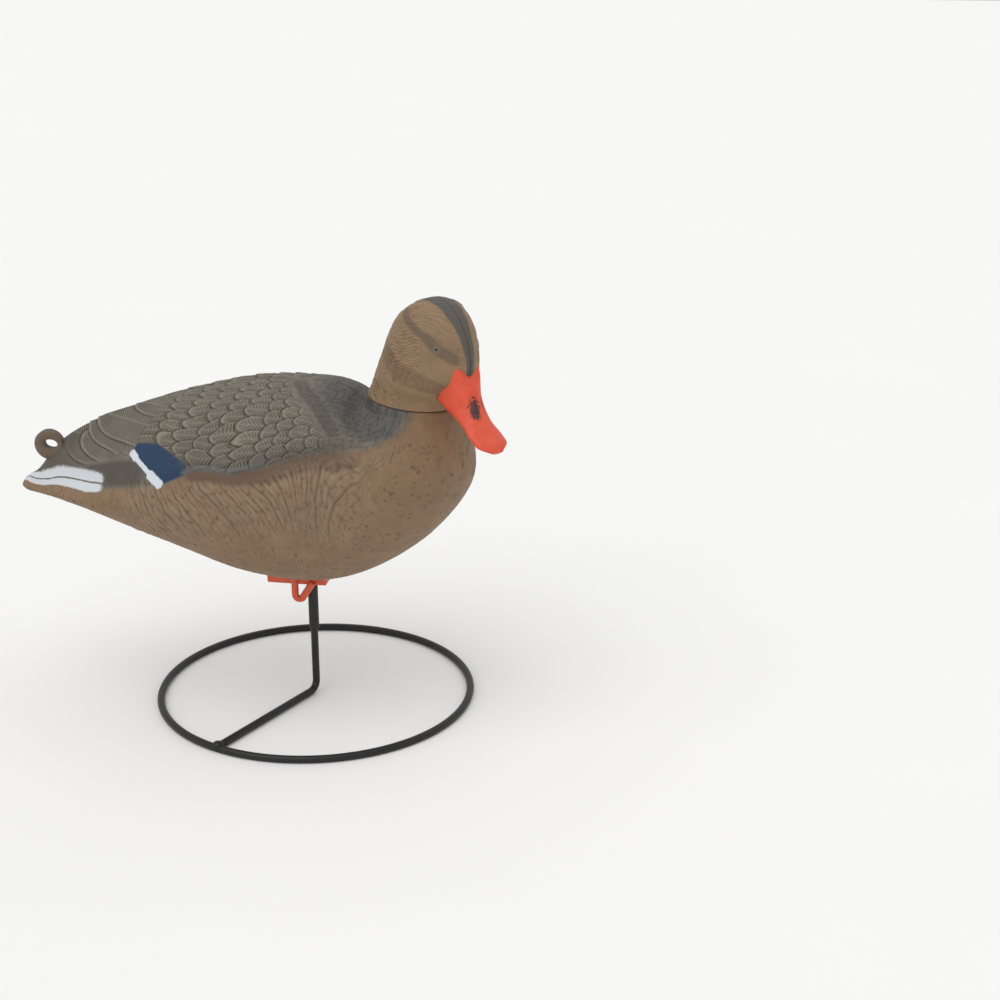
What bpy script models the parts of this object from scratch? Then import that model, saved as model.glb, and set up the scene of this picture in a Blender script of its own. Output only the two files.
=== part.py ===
"""Full-body duck decoy on a ring stand.

The body and the head are each two thin moulded halves. The body swivels on a sleeve that
slips over a bent steel rod, and the head plugs into the neck and turns there.
Built about the upright's axis, then shifted so that the box's bottom centre is the origin.
"""

import math

import bmesh
import bpy
import numpy as np
from mathutils import Matrix, Vector

MM = 0.001

# Gaps
GAP = 0.3 * MM              # between pieces that touch
SEAM_GAP = 0.3 * MM         # between the two halves of a moulding
NECK_GAP = 0.8 * MM         # between the body's and the head's rims
CUT_SPARE = 5.0 * MM        # how far a cutter runs past the piece that it cuts
CUT_LONG = 20.0 * MM

# Ring stand
ROD_R = 3.0 * MM
RING_R = 127.0 * MM         # centreline
RING_SIDES = 10             # puts a flat of the rod's outline on the ground
SPOKE_ANGLE = math.radians(-112.5)
BEND_R = 8.0 * MM
WELD_R = 5.0 * MM
WELD_RISE = 0.3 * MM

# Body, from a lines plan that is scaled to these
BELLY_HEIGHT = 107.5 * MM
BODY_LENGTH = 371.0 * MM
BODY_WIDTH = 164.0 * MM
BODY_DEPTH = 160.0 * MM
WALL = 2.5 * MM
HOLLOW_START = 0.31         # share of the plan's stations that is solid tail

# Swivel
SOCKET_REACH = 52.0 * MM    # rod tip above the belly
SLEEVE_BORE_CLEAR = 0.3 * MM
SLEEVE_WALL = 0.8 * MM
SLEEVE_DROP = 49.0 * MM     # sleeve's low end below the belly
PLUG_CAP = 3.0 * MM
PLUG_SPIGOT = 6.0 * MM
TOWER_WALL = 2.6 * MM

# Belly bracket
STRIP_REAR = 35.5 * MM
STRIP_FRONT = 13.6 * MM
STRIP_WIDTH = 18.0 * MM
STRIP_THICK = 12.0 * MM
STRIP_PROUD = 9.0 * MM
STRIP_ROUNDING = 1.2 * MM
STRIP_MELD = 2.0 * MM         # depth to which tower, bosses and loop sink into the strip
RECESS_TAIL = 3.0 * MM      # open end of the recess behind the strip
LOOP_X = 12.0 * MM          # first leg, behind the upright
LOOP_END_X = 3.0 * MM       # where the sloping leg meets the strip's underside
LOOP_DROP = 24.0 * MM       # loop's low edge below the belly
LOOP_BAND = 3.0 * MM        # half width of the band
LOOP_TURN_R = 3.6 * MM
LOOP_OUT = 2.4 * MM         # band's centre, out from the strip's side
BOSS_R = 3.6 * MM
BOSS_REAR_X = -29.0 * MM
BOSS_FRONT_X = -16.5 * MM
PLATE_LIFT = 13.0 * MM      # plate's underside above the belly's lowest line
PLATE_THICK = 3.0 * MM
PLATE_WIDTH = 30.0 * MM
PLATE_MARGIN = 7.0 * MM     # beyond the rear screw and the tower
PLATE_ROUNDING = 0.8 * MM
SCREW_R = 1.5 * MM
SCREW_HEAD_R = 2.8 * MM
SCREW_TOP_R = 2.0 * MM
SCREW_HEAD = 1.8 * MM
SCREW_LENGTH = 9.0 * MM

# Tail loop
LUG_R = 12.3 * MM
LUG_HOLE_R = 4.5 * MM
LUG_WIDTH = 7.0 * MM
LUG_X = -215.5 * MM
LUG_LIFT = 96.5 * MM        # hole's centre above the belly

# Neck and head
NECK_R = 36.5 * MM
NECK_X = 87.8 * MM
NECK_LIFT = 150.2 * MM      # above the belly
NECK_TILT = math.radians(5.9)
HEAD_TURN = math.radians(-40.0)
HEAD_HEIGHT = 84.5 * MM
HEAD_WIDTH = 62.0 * MM
COLLAR_R_CLEAR = 0.7 * MM
COLLAR_HOLE_R = 21.0 * MM
COLLAR_TOP = 1.5 * MM
COLLAR_DEEP = 7.5 * MM
BUSH_WALL = 2.6 * MM
BUSH_LIP = 2.0 * MM
BUSH_FLANGE = 4.0 * MM
BUSH_EDGE = 2.0 * MM
HUB_WALL = 3.5 * MM
PLUG_FLANGE = 3.0 * MM
PLUG_R_CLEAR = 2.5 * MM     # head's wall leans in above its rim

# Bill and eyes
BILL_LENGTH = 63.6 * MM
BILL_ROOT = (45.0 * MM, 17.5 * MM)
BILL_PITCH = math.radians(27.0)
EYE_R = 2.3 * MM
EYE_LIFT = 54.0 * MM        # above the neck
EYE_BEARING = math.radians(50.0)
EYE_PROUD = 0.8 * MM
EYE_SHANK = 5.0 * MM
EYE_STEP = 0.04             # short way along the surface, to find which way it faces

# Body lines plan in mm from the upright and the belly, tail to neck: back x, back z,
# keel x, keel z, half breadth, share of the depth that is below the widest line,
# roundness of the back, roundness of the belly
BODY_PLAN = (
    (-237, 68.5, -237, 64.5, 8, 0.50, 1.80, 1.80),
    (-234, 70.5, -234, 63, 18, 0.50, 1.60, 1.80),
    (-226, 76.2, -226, 61.8, 27, 0.35, 1.10, 1.80),
    (-215, 89, -214, 60.1, 33, 0.26, 0.85, 1.80),
    (-200, 104.5, -200, 57, 38, 0.22, 0.80, 1.80),
    (-170, 121.5, -172, 49, 48, 0.24, 1.15, 1.85),
    (-135, 134.5, -138, 36.5, 60, 0.32, 1.60, 1.90),
    (-90, 147.5, -95, 21.5, 73, 0.42, 1.95, 2.00),
    (-40, 158.0, -45, 5.0, 80, 0.47, 2.15, 2.10),
    (10, 160.0, 8, 0.0, 82, 0.48, 2.15, 2.10),
    (33, 156.5, 52, 10.5, 79, 0.49, 2.05, 2.10),
    (43, 149.5, 98, 39.5, 73, 0.50, 2.00, 2.05),
    (48.5, 147.0, 130, 78.5, 60, 0.50, 2.00, 2.00),
    (51, 149.5, 134, 110.5, 46, 0.50, 2.00, 2.00),
)
PLAN_SIZE = (371.0, 164.0, 160.0)

# Head plan in mm above the neck: height, front reach, back reach, half breadth
HEAD_PLAN = (
    (0, 36.5, 36.5, 36.5),
    (8, 40, 33.5, 35),
    (18, 50, 31.5, 34.5),
    (30, 60.5, 30, 31),
    (43, 62.5, 27, 28.5),
    (56, 58.5, 21, 27.5),
    (67, 51.5, 13, 26),
    (76, 42.5, 2.5, 20.5),
    (82, 32, -8, 13.5),
    (84.5, 24, -15, 4),
)
HEAD_PLAN_WIDTH = 62.0 * MM
HEAD_NARROWING = 0.10       # how much slimmer the face is than the back of the head

# Bill plan: share of the length, half breadth, top and underside from its line, in mm
BILL_PLAN = (
    (0.00, 13.8, 29.0, 10.5),
    (0.20, 13.0, 24.0, 9.0),
    (0.38, 11.9, 15.5, 6.8),
    (0.57, 12.9, 8.2, 4.8),
    (0.77, 14.2, 5.0, 3.8),
    (0.91, 12.5, 3.2, 3.0),
    (1.00, 5.0, 0.8, 1.8),
)

# Facets
TAIL_ROWS, BODY_ROWS, BODY_COLUMNS = 9, 22, 16
HEAD_ROWS, HEAD_COLUMNS = 13, 12
BILL_ROWS, BILL_COLUMNS = 11, 16
TURN_STEPS = 28

SMOOTH_LIMIT = math.radians(35.0)


def clear_scene():
    for item in list(bpy.data.objects):
        bpy.data.objects.remove(item)


def collection(name, hidden=False):
    made = bpy.data.collections.new(name)
    bpy.context.scene.collection.children.link(made)
    made.hide_render = hidden
    return made


def material(name, colour, roughness, metallic=0.0):
    made = bpy.data.materials.new(name)
    made.use_nodes = True
    shader = made.node_tree.nodes["Principled BSDF"]
    shader.inputs["Base Color"].default_value = (*colour, 1.0)
    shader.inputs["Roughness"].default_value = roughness
    shader.inputs["Metallic"].default_value = metallic
    return made


def axis_empty(name, parent=None, place=Matrix.Identity(4)):
    empty = bpy.data.objects.new(name, None)
    PARTS.objects.link(empty)
    empty.parent = parent
    empty.matrix_basis = place
    return empty


def mesh_from(name, bm):
    bmesh.ops.recalc_face_normals(bm, faces=bm.faces)
    mesh = bpy.data.meshes.new(name)
    bm.to_mesh(mesh)
    bm.free()
    return mesh


def node(name, mesh, finish, parent, place=Matrix.Identity(4)):
    item = bpy.data.objects.new(name, mesh)
    PARTS.objects.link(item)
    item.parent = parent
    item.matrix_basis = place
    mesh.materials.clear()
    mesh.materials.append(finish)
    mesh.shade_smooth()
    mesh.set_sharp_from_angle(angle=SMOOTH_LIMIT)
    return item


def cutter(name, mesh, parent, place=Matrix.Identity(4)):
    item = bpy.data.objects.new(name, mesh)
    CUTTERS.objects.link(item)
    item.parent = parent
    item.matrix_basis = place
    item.hide_render = True
    item.display_type = "WIRE"
    return item


def combine(item, tool, operation="DIFFERENCE"):
    step = item.modifiers.new(tool.name, "BOOLEAN")
    step.operation = operation
    step.object = tool
    step.solver = "EXACT"


def box_mesh(name, low, high):
    bm = bmesh.new()
    bmesh.ops.create_cube(bm, size=1.0)
    low, high = Vector(low), Vector(high)
    bmesh.ops.scale(bm, vec=high - low, verts=bm.verts)
    bmesh.ops.translate(bm, vec=(low + high) / 2, verts=bm.verts)
    return mesh_from(name, bm)


def cylinder_mesh(name, radius, low, high, steps=TURN_STEPS):
    """upright cylinder about the local Z axis from low to high"""
    bm = bmesh.new()
    bmesh.ops.create_cone(bm, cap_ends=True, segments=steps, radius1=radius,
                          radius2=radius, depth=high - low)
    bmesh.ops.translate(bm, vec=(0, 0, (low + high) / 2), verts=bm.verts)
    return mesh_from(name, bm)


def turned(name, profile, finish, parent, place=Matrix.Identity(4), steps=TURN_STEPS):
    """closed profile of (radius, height) points turned about the local Z axis"""
    mesh = bpy.data.meshes.new(name)
    points = [(radius, 0.0, height) for radius, height in profile]
    on_axis = profile[0][0] == 0.0
    joins = [(i, i + 1) for i in range(len(points) - 1)]
    if not on_axis:
        joins.append((len(points) - 1, 0))
    mesh.from_pydata(points, joins, [])
    item = node(name, mesh, finish, parent, place)
    screw = item.modifiers.new("turn", "SCREW")
    screw.steps = steps
    screw.render_steps = steps
    screw.use_merge_vertices = True
    screw.merge_threshold = 0.00002
    return item


def smooth_curve(stops, values, at):
    """cubic through the stops, with each stop's slope taken from its neighbours"""
    stops, values = np.asarray(stops, float), np.asarray(values, float)
    slopes = np.gradient(values, stops)
    i = np.clip(np.searchsorted(stops, at, side="right") - 1, 0, len(stops) - 2)
    step = stops[i + 1] - stops[i]
    t = (at - stops[i]) / step
    rise = (2 * t**3 - 3 * t**2 + 1) * values[i] + (3 * t**2 - 2 * t**3) * values[i + 1]
    bend = (t**3 - 2 * t**2 + t) * slopes[i] + (t**3 - t**2) * slopes[i + 1]
    return rise + step * bend


def neck_point(out, up):
    """point in the centre plane, out along the neck's rim plane and up its axis"""
    x = NECK_X + out * math.cos(NECK_TILT) + up * math.sin(NECK_TILT)
    z = BELLY_HEIGHT + NECK_LIFT - out * math.sin(NECK_TILT) + up * math.cos(NECK_TILT)
    return x, z


def body_lines():
    """the lines plan in metres at the body's own size, closed by the round neck"""
    long, wide, deep = (size / plan for size, plan in
                        zip((BODY_LENGTH, BODY_WIDTH, BODY_DEPTH), PLAN_SIZE))
    rows = [(bx * long, BELLY_HEIGHT + bz * deep, kx * long, BELLY_HEIGHT + kz * deep,
             half * wide, share, back, belly)
            for bx, bz, kx, kz, half, share, back, belly in BODY_PLAN]
    rows.append((*neck_point(-NECK_R, 0), *neck_point(NECK_R, 0), NECK_R, 0.5, 2.0, 2.0))
    return np.array(rows)


def body_section(at, turn, inset=0.0):
    """points of the half section at station share `at`, from back (turn 90) to keel (-90)"""
    lines = body_lines()
    stops = np.linspace(0.0, 1.0, len(lines))
    bx, bz, kx, kz, half, share, back, belly = (
        smooth_curve(stops, lines[:, i], at) for i in range(8))
    depth = np.hypot(bx - kx, bz - kz)
    ux, uz = (bx - kx) / depth, (bz - kz) / depth
    bx, bz, kx, kz = bx - inset * ux, bz - inset * uz, kx + inset * ux, kz + inset * uz
    cx, cz = kx + share * (bx - kx), kz + share * (bz - kz)
    upper = turn > 0
    power = 2.0 / np.where(upper, back, belly)
    reach = np.abs(np.sin(turn)) ** power
    x = cx + (np.where(upper, bx, kx) - cx) * reach
    z = cz + (np.where(upper, bz, kz) - cz) * reach
    y = (half - inset) * np.abs(np.cos(turn)) ** power
    return np.stack([x, y, z], axis=-1)


def head_section(at, turn, inset=0.0):
    """point of the head in the neck's frame: crown at 0, neck at 1, turn 0 at the bill"""
    plan = np.array(HEAD_PLAN, float) * MM
    tall = HEAD_HEIGHT / plan[-1, 0]
    broad = HEAD_WIDTH / HEAD_PLAN_WIDTH
    plan[:, 0] *= tall
    plan[1:, 3] *= broad
    plan[0, 1:] = NECK_R
    stops = np.linspace(1.0, 0.0, len(plan))[::-1]
    height, front, back, half = (smooth_curve(stops, plan[::-1, i], at) for i in range(4))
    height = NECK_GAP + height * (1 - inset / HEAD_HEIGHT)
    middle, reach = (front - back) / 2, (front + back) / 2 - inset
    x = middle + reach * np.cos(turn)
    slim = 1 - HEAD_NARROWING * np.cos(turn) * np.clip(2 * (1 - at), 0, 1)
    y = (half - inset) * np.sin(turn) * slim
    return np.stack(np.broadcast_arrays(x, y, height), axis=-1)


def bill_section(at, turn):
    """point of the bill in the neck's frame, from its root to its tip"""
    plan = np.array(BILL_PLAN, float)
    half, top, under = (smooth_curve(plan[:, 0], plan[:, i], at) * MM for i in (1, 2, 3))
    y = half * np.cos(turn)
    off = np.where(np.sin(turn) > 0, top, under) * np.sin(turn)
    along = at * BILL_LENGTH
    x = BILL_ROOT[0] + along * math.cos(BILL_PITCH) + off * math.sin(BILL_PITCH)
    z = BILL_ROOT[1] - along * math.sin(BILL_PITCH) + off * math.cos(BILL_PITCH)
    return np.stack([x, y, z], axis=-1)


def half_shell(name, outer, inner, side):
    """bowl between two grids that end in an open rim; the outer's extra first rows are solid"""
    columns = outer.shape[1]
    solid = len(outer) - len(inner)
    bm = bmesh.new()
    skins = []
    for skin in (outer, inner):
        skin = skin.copy()
        skin[:, (0, -1), 1] = 0.0
        skin[..., 1] = side * (skin[..., 1] + SEAM_GAP / 2)
        skins.append([[bm.verts.new(point.tolist()) for point in row] for row in skin])
    out, back = skins
    for grid in skins:
        for low, high in zip(grid, grid[1:]):
            for j in range(columns - 1):
                bm.faces.new((low[j], high[j], high[j + 1], low[j + 1]))
        bm.faces.new(grid[0])
    for low, high in zip(out[:solid], out[1:]):
        bm.faces.new((low[0], high[0], high[-1], low[-1]))
    bm.faces.new((out[solid][0], back[0][0], back[0][-1], out[solid][-1]))
    for j in (0, columns - 1):
        for low, high, under, over in zip(out[solid:], out[solid + 1:], back, back[1:]):
            bm.faces.new((low[j], high[j], over[j], under[j]))
    for j in range(columns - 1):
        bm.faces.new((out[-1][j], out[-1][j + 1], back[-1][j + 1], back[-1][j]))
    return mesh_from(name, bm)


def closed_loft(name, grid):
    """solid through closed rings of points, capped at both ends"""
    bm = bmesh.new()
    rings = [[bm.verts.new([float(value) for value in point]) for point in row] for row in grid]
    count = len(rings[0])
    for low, high in zip(rings, rings[1:]):
        for j in range(count):
            k = (j + 1) % count
            bm.faces.new((low[j], low[k], high[k], high[j]))
    bm.faces.new(rings[0])
    bm.faces.new(rings[-1])
    return mesh_from(name, bm)


def bent_rod(name, points, radius, sides_step):
    """round rod along a polyline, made a mesh with welded caps"""
    data = bpy.data.curves.new(name, "CURVE")
    data.dimensions = "3D"
    data.bevel_depth = radius
    data.bevel_resolution = sides_step
    data.use_fill_caps = True
    spline = data.splines.new("POLY")
    spline.points.add(len(points) - 1)
    for place, point in zip(spline.points, points):
        place.co = (*point, 1.0)
    path = bpy.data.objects.new(name, data)
    PARTS.objects.link(path)
    bpy.context.view_layer.update()
    ready = path.evaluated_get(bpy.context.evaluated_depsgraph_get())
    raw = bpy.data.meshes.new_from_object(ready)
    bpy.data.objects.remove(path)
    bm = bmesh.new()
    bm.from_mesh(raw)
    bmesh.ops.remove_doubles(bm, verts=bm.verts, dist=0.00001)
    return mesh_from(name, bm)


def arc(centre, radius, start, end, steps):
    """points of an arc in the plane of two local directions"""
    return [(centre[0] + radius * math.cos(angle), centre[1] + radius * math.sin(angle))
            for angle in np.linspace(start, end, steps + 1)]


def make_stand(origin):
    half_side = math.pi / RING_SIDES
    ring_height = ROD_R * math.cos(half_side)
    bpy.ops.mesh.primitive_torus_add(major_radius=RING_R, minor_radius=ROD_R,
                                     major_segments=64, minor_segments=RING_SIDES)
    torus = bpy.context.object
    mesh = torus.data
    bpy.data.objects.remove(torus)
    lift = Matrix.Translation((0, 0, ring_height))
    node("ground_ring", mesh, PAINTED_STEEL, origin, lift)

    low = ROD_R + GAP
    reach = RING_R - ROD_R - GAP
    tip = BELLY_HEIGHT + SOCKET_REACH
    run = [(reach, low)] + [(BEND_R - x, low + BEND_R - z) for x, z in
                            arc((0, 0), BEND_R, math.pi / 2, 0, 6)] + [(0.0, tip)]
    outward = (math.cos(SPOKE_ANGLE), math.sin(SPOKE_ANGLE))
    points = [(outward[0] * d, outward[1] * d, z) for d, z in run]
    node("upright_rod", bent_rod("upright_rod", points, ROD_R, 2), PAINTED_STEEL, origin)

    bm = bmesh.new()
    bmesh.ops.create_uvsphere(bm, u_segments=16, v_segments=10, radius=WELD_R)
    spot = RING_R - ROD_R / 2
    place = Matrix.Translation((outward[0] * spot, outward[1] * spot, ring_height + WELD_RISE))
    weld = node("ring_weld", mesh_from("ring_weld", bm), WELD_METAL, origin, place)
    bpy.ops.mesh.primitive_torus_add(major_radius=RING_R, minor_radius=ROD_R + GAP,
                                     major_segments=64, minor_segments=RING_SIDES)
    torus = bpy.context.object
    combine(weld, cutter("ring_room", torus.data, origin, lift))
    bpy.data.objects.remove(torus)
    spoke = cylinder_mesh("spoke_room", ROD_R + GAP, 0.0, RING_R, 12)
    lay = Matrix.Rotation(SPOKE_ANGLE, 4, "Z") @ Matrix.Rotation(math.pi / 2, 4, "Y")
    combine(weld, cutter("spoke_room", spoke, origin, Matrix.Translation((0, 0, low)) @ lay))
    wide = RING_R + CUT_LONG
    ground = box_mesh("ground_room", (-wide, -wide, -CUT_LONG), (wide, wide, ring_height))
    combine(weld, cutter("ground_room", ground, origin))


def make_sleeve(swivel):
    tip = BELLY_HEIGHT + SOCKET_REACH
    bore = ROD_R + SLEEVE_BORE_CLEAR
    outside = bore + SLEEVE_WALL
    low, high = BELLY_HEIGHT - SLEEVE_DROP, tip + PLUG_SPIGOT + 2 * GAP
    turned("swivel_sleeve", [(outside, high), (outside, low), (bore, low), (bore, high)],
           BLACK_PLASTIC, swivel)
    spigot = bore - GAP
    turned("thrust_plug",
           [(0.0, high + GAP + PLUG_CAP), (outside, high + GAP + PLUG_CAP),
            (outside, high + GAP), (spigot, high + GAP), (spigot, tip + GAP),
            (0.0, tip + GAP)], GREY_PLASTIC, swivel)
    return outside, high + GAP + PLUG_CAP


def make_bracket(swivel, sleeve_r, sleeve_top):
    """strip in the belly, hanging loop, and the socket tower that turns on the sleeve"""
    low = BELLY_HEIGHT - STRIP_PROUD
    high = low + STRIP_THICK
    half = STRIP_WIDTH / 2
    plate_low = BELLY_HEIGHT + PLATE_LIFT
    bore = sleeve_r + GAP
    tower_r = bore + TOWER_WALL
    tower_top = sleeve_top + GAP + TOWER_WALL

    bm = bmesh.new()
    bmesh.ops.create_cube(bm, size=1.0)
    bmesh.ops.scale(bm, vec=(STRIP_REAR + STRIP_FRONT, STRIP_WIDTH, STRIP_THICK), verts=bm.verts)
    bmesh.ops.translate(bm, vec=((STRIP_FRONT - STRIP_REAR) / 2, 0, (low + high) / 2),
                        verts=bm.verts)
    bracket = node("foot_bracket", mesh_from("foot_bracket", bm), ORANGE_PLASTIC, swivel)
    rounding = bracket.modifiers.new("rounding", "BEVEL")
    rounding.width = STRIP_ROUNDING
    rounding.segments = 2

    tower = cylinder_mesh("tower", tower_r, high - STRIP_MELD, tower_top)
    combine(bracket, cutter("tower", tower, swivel), "UNION")
    boss = cylinder_mesh("boss", BOSS_R, high - STRIP_MELD, plate_low - GAP, 16)
    spots = {end: Matrix.Translation((x, 0, 0))
             for end, x in (("rear", BOSS_REAR_X), ("front", BOSS_FRONT_X))}
    for end, spot in spots.items():
        combine(bracket, cutter(f"boss_{end}", boss, swivel, spot), "UNION")

    side = -(half + LOOP_OUT - LOOP_BAND / 2)
    foot = BELLY_HEIGHT - LOOP_DROP + LOOP_BAND
    turn_r = LOOP_TURN_R
    slope = math.atan2(low - foot - turn_r, LOOP_END_X + LOOP_X - turn_r)
    bend = [(x - LOOP_X + turn_r, z + foot + turn_r) for x, z in
            arc((0, 0), turn_r, math.pi, 1.5 * math.pi + slope, 6)]
    last = (LOOP_END_X, low + LOOP_BAND)
    run = [(-LOOP_X, high - STRIP_MELD - LOOP_BAND)] + bend + [last]
    points = [(x, side, z) for x, z in run]
    loop = cutter("hanging_loop", bent_rod("hanging_loop", points, LOOP_BAND, 2), swivel)
    combine(bracket, loop, "UNION")

    bore_tool = cylinder_mesh("sleeve_bore", bore, low - CUT_SPARE, sleeve_top + GAP)
    combine(bracket, cutter("sleeve_bore", bore_tool, swivel))
    screw_low = plate_low + PLATE_THICK + GAP - SCREW_LENGTH
    hole = cylinder_mesh("screw_room", SCREW_R + GAP, screw_low - GAP,
                         plate_low + CUT_LONG, 12)
    rooms = [cutter(f"screw_room_{end}", hole, swivel, spot) for end, spot in spots.items()]
    for room in rooms:
        combine(bracket, room)

    plate = box_mesh("backing_plate",
                     (BOSS_REAR_X - PLATE_MARGIN, -PLATE_WIDTH / 2, plate_low),
                     (tower_r + PLATE_MARGIN, PLATE_WIDTH / 2, plate_low + PLATE_THICK))
    backing = node("backing_plate", plate, GREY_PLASTIC, swivel)
    edge = backing.modifiers.new("rounding", "BEVEL")
    edge.width = PLATE_ROUNDING
    edge.segments = 1
    collar = cylinder_mesh("tower_room", tower_r + GAP, plate_low - CUT_SPARE,
                           plate_low + CUT_LONG)
    combine(backing, cutter("tower_room", collar, swivel))
    for room in rooms:
        combine(backing, room)
    head_low = plate_low + PLATE_THICK + GAP
    for end, spot in spots.items():
        turned(f"bracket_screw_{end}",
               [(0.0, head_low + SCREW_HEAD), (SCREW_TOP_R, head_low + SCREW_HEAD),
                (SCREW_HEAD_R, head_low + SCREW_HEAD / 2), (SCREW_HEAD_R, head_low),
                (SCREW_R, head_low), (SCREW_R, screw_low + SCREW_R), (0.0, screw_low)],
               BRIGHT_STEEL, swivel, spot, 12)
    recess = box_mesh("belly_recess",
                      (-STRIP_REAR - RECESS_TAIL, -half - GAP, low - CUT_SPARE),
                      (STRIP_FRONT + GAP, half + GAP, plate_low - GAP))
    return cutter("belly_recess", recess, swivel)


def make_body(swivel, recess):
    turn = np.linspace(math.pi / 2, -math.pi / 2, BODY_COLUMNS)[None, :]
    hollow = np.linspace(HOLLOW_START, 1, BODY_ROWS)
    tail = np.linspace(0, HOLLOW_START, TAIL_ROWS, endpoint=False)
    outer = body_section(np.concatenate([tail, hollow])[:, None], turn)
    inner = body_section(hollow[:, None], turn, WALL)
    lug_height = BELLY_HEIGHT + LUG_LIFT * BODY_DEPTH / (PLAN_SIZE[2] * MM)
    lug_x = LUG_X * BODY_LENGTH / (PLAN_SIZE[0] * MM)
    across = Matrix.Rotation(-math.pi / 2, 4, "X")
    centre = Matrix.Translation((lug_x, 0, lug_height)) @ across
    hole = cylinder_mesh("lug_hole", LUG_HOLE_R, -LUG_WIDTH, LUG_WIDTH, 20)
    hole_tool = cutter("lug_hole", hole, swivel, centre)
    for word, side in (("left", 1), ("right", -1)):
        mesh = half_shell(f"body_shell_{word}", outer, inner, side)
        shell = node(f"body_shell_{word}", mesh, BODY_PLASTIC, swivel)
        low, high = sorted((side * SEAM_GAP / 2, side * LUG_WIDTH / 2))
        disc = cylinder_mesh(f"lug_{word}", LUG_R, low, high, 28)
        combine(shell, cutter(f"lug_{word}", disc, swivel, centre), "UNION")
        combine(shell, hole_tool)
        combine(shell, recess)


def make_neck(swivel, neck, head):
    collar_r = NECK_R - WALL - COLLAR_R_CLEAR
    top, low = -COLLAR_TOP, -COLLAR_TOP - COLLAR_DEEP
    turned("neck_collar", [(collar_r, top), (collar_r, low), (COLLAR_HOLE_R, low),
                           (COLLAR_HOLE_R, top)], GREY_PLASTIC, swivel, neck.matrix_basis)
    outside = COLLAR_HOLE_R - GAP
    inside = outside - BUSH_WALL
    flange_low, flange_top = top + GAP, top + GAP + BUSH_EDGE
    lip_top, lip_low = low - GAP, low - GAP - BUSH_EDGE
    turned("neck_bushing",
           [(outside + BUSH_FLANGE, flange_top), (outside + BUSH_FLANGE, flange_low),
            (outside, flange_low), (outside, lip_top), (outside + BUSH_LIP, lip_top),
            (outside, lip_low), (inside, lip_low), (inside, flange_top)],
           GREY_PLASTIC, neck)
    hub = inside - GAP
    hub_bore = hub - HUB_WALL
    flange = flange_top + GAP
    flange_r = NECK_R - WALL - PLUG_R_CLEAR
    turned("neck_plug",
           [(0.0, flange + PLUG_FLANGE), (flange_r, flange + PLUG_FLANGE),
            (flange_r, flange), (hub, flange), (hub, lip_low), (hub_bore, lip_low),
            (hub_bore, flange), (0.0, flange)], BODY_PLASTIC, head)


def make_head(head):
    turn = np.linspace(0, math.pi, HEAD_COLUMNS)[None, :]
    rows = np.linspace(0, 1, HEAD_ROWS)[:, None]
    outer, inner = head_section(rows, turn), head_section(rows, turn, WALL)
    round_turn = np.linspace(0, 2 * math.pi, 2 * HEAD_COLUMNS - 2, endpoint=False)[None, :]
    room = closed_loft("head_room", head_section(rows, round_turn, -2 * GAP))
    head_room = cutter("head_room", room, head)
    levels = head_section(rows[:, 0], np.array(0.0))[:, 2]
    share = np.interp(-EYE_LIFT, -levels, rows[:, 0])
    for word, side in (("left", 1), ("right", -1)):
        mesh = half_shell(f"head_shell_{word}", outer, inner, side)
        shell = node(f"head_shell_{word}", mesh, BODY_PLASTIC, head)
        spot = Vector(head_section(np.array(share), np.array(EYE_BEARING)).tolist())
        ahead = Vector(head_section(np.array(share), np.array(EYE_BEARING - EYE_STEP)).tolist())
        above = Vector(head_section(np.array(share - EYE_STEP), np.array(EYE_BEARING)).tolist())
        normal = (above - spot).cross(ahead - spot).normalized()
        if normal.y < 0:
            normal = -normal
        spot.y, normal.y = side * spot.y, side * normal.y
        facing = Matrix.Translation(spot) @ normal.to_track_quat("Z", "Y").to_matrix().to_4x4()
        dome = arc((0, EYE_PROUD - EYE_R), EYE_R, math.pi / 2, 0, 5)
        dome[0] = (0.0, dome[0][1])
        turned(f"eye_{word}", dome + [(EYE_R, -EYE_SHANK), (0.0, -EYE_SHANK)],
               EYE_GLASS, head, facing, 16)
        socket = cylinder_mesh(f"eye_hole_{word}", EYE_R + GAP, -2 * EYE_SHANK, EYE_SHANK, 16)
        combine(shell, cutter(f"eye_hole_{word}", socket, head, facing))
    bill_turn = np.linspace(0, 2 * math.pi, BILL_COLUMNS, endpoint=False)[None, :]
    grid = bill_section(np.linspace(0, 1, BILL_ROWS)[:, None], bill_turn)
    bill = node("bill", closed_loft("bill", grid), BILL_PLASTIC, head)
    combine(bill, head_room)


def centre_on_box(origin):
    """shifts the whole object so that its box's bottom centre is the origin"""
    bpy.context.view_layer.update()
    graph = bpy.context.evaluated_depsgraph_get()
    points = []
    for item in PARTS.objects:
        if item.type == "MESH":
            ready = item.evaluated_get(graph)
            points += [ready.matrix_world @ vertex.co for vertex in ready.to_mesh().vertices]
            ready.to_mesh_clear()
    points = np.array(points)
    low, high = points.min(axis=0), points.max(axis=0)
    origin.location = (-(low[0] + high[0]) / 2, -(low[1] + high[1]) / 2, -low[2])


clear_scene()
PARTS = collection("duck_decoy")
CUTTERS = collection("cutters", hidden=True)

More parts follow.
